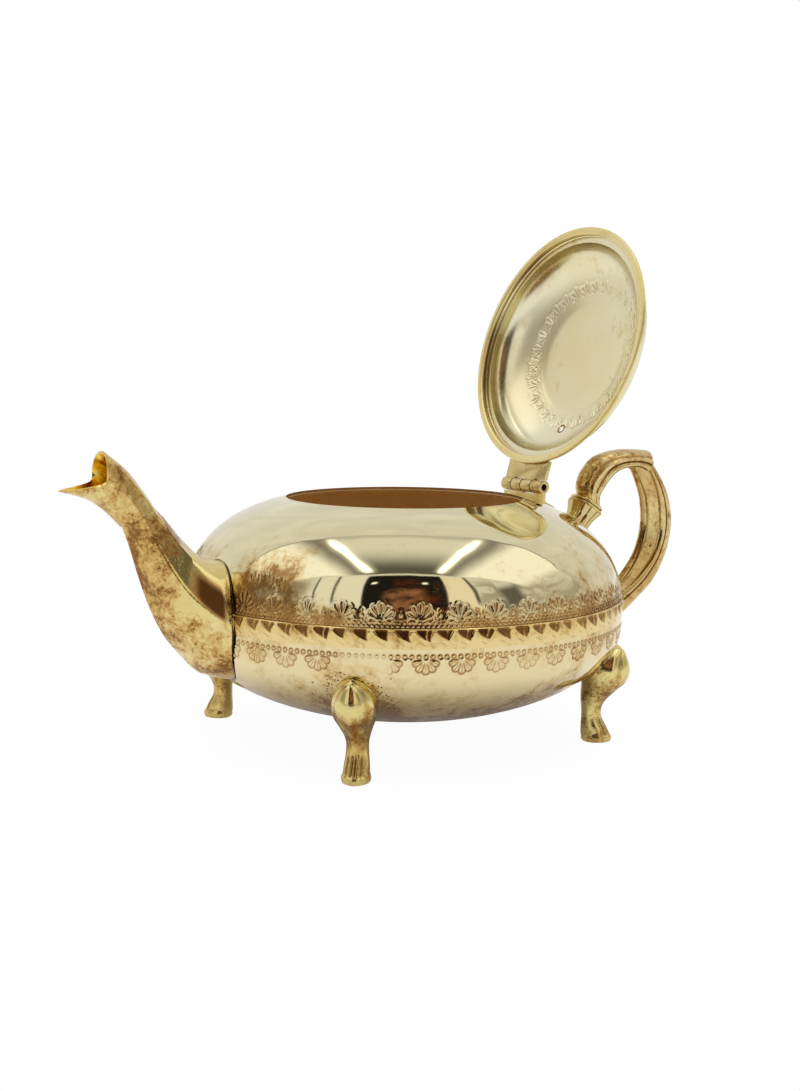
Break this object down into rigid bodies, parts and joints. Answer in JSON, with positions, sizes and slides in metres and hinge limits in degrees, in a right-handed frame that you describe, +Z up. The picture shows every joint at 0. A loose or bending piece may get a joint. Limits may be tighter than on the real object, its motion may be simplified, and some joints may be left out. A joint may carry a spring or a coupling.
{
  "type": "teapot",
  "caption": "Squat footed metal teapot with a swan-neck spout, a scroll handle and a domed lid that swings open on a knuckle hinge at the handle side.",
  "frame": {"origin": "centre of the whole object's footprint box, on the plane that the four feet stand on; the body's axis is the Z axis", "axes": "+Z up, spout towards -X, handle and lid hinge towards +X, +Y to the left of someone looking from the handle to the spout"},
  "size_m": [0.2604, 0.1604, 0.187],
  "materials": {
    "spun_brass": "polished spun sheet, lightly tarnished",
    "cast_brass": "cast and chased, brown patina in the hollows",
    "hinge_brass": "filed and soldered",
    "pin_metal": "darkened wire",
    "lid_brass": "bright polished spun sheet"
  },
  "bodies": {
    "pot": {"body_upper": "spun_brass", "body_lower": "spun_brass", "belly_band": "spun_brass", "foot_front_left": "cast_brass", "foot_front_right": "cast_brass", "foot_rear_left": "cast_brass", "foot_rear_right": "cast_brass", "spout_neck": "cast_brass", "spout_beak": "cast_brass", "handle_socket": "cast_brass", "handle": "cast_brass", "hinge_body_leaf": "hinge_brass", "hinge_pin": "pin_metal"},
    "lid": {"hinge_lid_leaf": "hinge_brass", "lid_dome": "lid_brass", "lid_rim": "lid_brass", "finial": "cast_brass"}
  },
  "joints": [
    {"name": "lid_hinge", "type": "hinge", "parent": "pot", "child": "lid", "pos_m": [0.0553, 0, 0.08819], "axis": [0, 1, 0], "range_deg": [-106, 0]}
  ]
}
